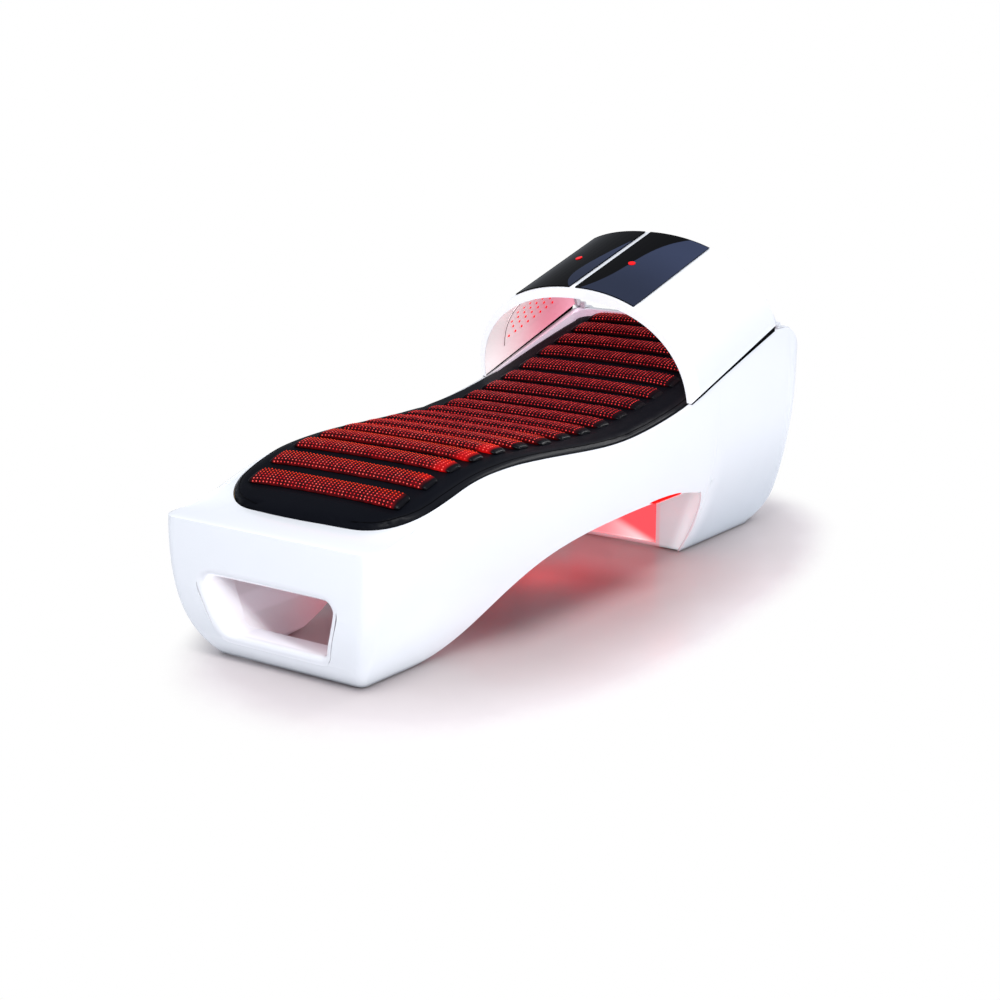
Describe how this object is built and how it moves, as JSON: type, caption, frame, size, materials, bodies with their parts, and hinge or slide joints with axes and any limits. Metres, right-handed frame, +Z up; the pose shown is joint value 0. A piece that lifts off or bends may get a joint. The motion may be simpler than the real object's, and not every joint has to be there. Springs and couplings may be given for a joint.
{
  "type": "light therapy bed",
  "caption": "Bridge-shaped padded lounger with lamp ribs across the mattress, an arched light hood hinged at the head end and a lit passage under the bridge.",
  "frame": {"origin": "on the floor, under the middle of the bed", "axes": "+X from the foot end to the head end, +Y to the left of someone who lies on it, +Z up"},
  "size_m": [2.25, 0.7772, 0.9772],
  "materials": {
    "shell_gloss": "white gloss moulding",
    "inner_plastic": "plain white",
    "liner_satin": "satin white",
    "glow_panel": "lit red panel",
    "lamp_board": "circuit board",
    "aluminium": "plain",
    "red_lens": "lit red lens",
    "frame_steel": "powder coated",
    "black_rubber": "matt",
    "black_plastic": "fine grain",
    "rocker_red": "gloss",
    "deck_board": "plywood",
    "padding_cover": "satin blue-black",
    "rib_cover": "satin blue-black",
    "lamp_strip": "dark red clear cover over small lamps",
    "red_lamp": "lit red",
    "roof_glass": "black gloss",
    "hinge_steel": "white powder coated"
  },
  "bodies": {
    "root": {"base_shell": "shell_gloss", "tunnel_ceiling": "shell_gloss", "tunnel_walls": "shell_gloss", "foot_opening_trim": "shell_gloss", "foot_sill_plate": "inner_plastic", "arch_glow_panel": "glow_panel", "arch_glow_board": "lamp_board", "underglow_channels": "aluminium", "underglow_lenses": "red_lens", "frame_rails": "frame_steel", "frame_cross_members": "frame_steel", "frame_legs": "frame_steel", "deck_bearers": "frame_steel", "glide_feet": "black_rubber", "head_floor_plate": "aluminium", "led_power_supply": "aluminium", "controller_box": "black_plastic", "inlet_plate": "black_plastic", "power_inlet": "black_plastic", "power_switch_frame": "black_plastic", "mattress_deck": "deck_board", "mattress": "padding_cover", "mattress_ribs": "rib_cover", "rib_lamp_strips": "lamp_strip", "rim_seal": "black_rubber", "hinge_base_leaves": "hinge_steel", "hinge_pins": "hinge_steel"},
    "hood": {"hood_shell": "shell_gloss", "hood_liner": "liner_satin", "hood_lamp_panel": "liner_satin", "hood_lamps": "red_lamp", "roof_glass_left": "roof_glass", "roof_glass_right": "roof_glass", "indicator_lamp_left": "red_lamp", "indicator_lamp_right": "red_lamp", "hinge_hood_arms": "hinge_steel"},
    "rocker": {"power_switch_rocker": "rocker_red"}
  },
  "joints": [
    {"name": "hood_hinge", "type": "hinge", "parent": "root", "child": "hood", "pos_m": [0.891, 0, 0.692], "axis": [0, 1, 0], "range_deg": [0, 50]},
    {"name": "switch_rocker", "type": "hinge", "parent": "root", "child": "rocker", "pos_m": [1.111, 0.026, 0.15], "axis": [0, 1, 0], "range_deg": [0, 14]}
  ]
}
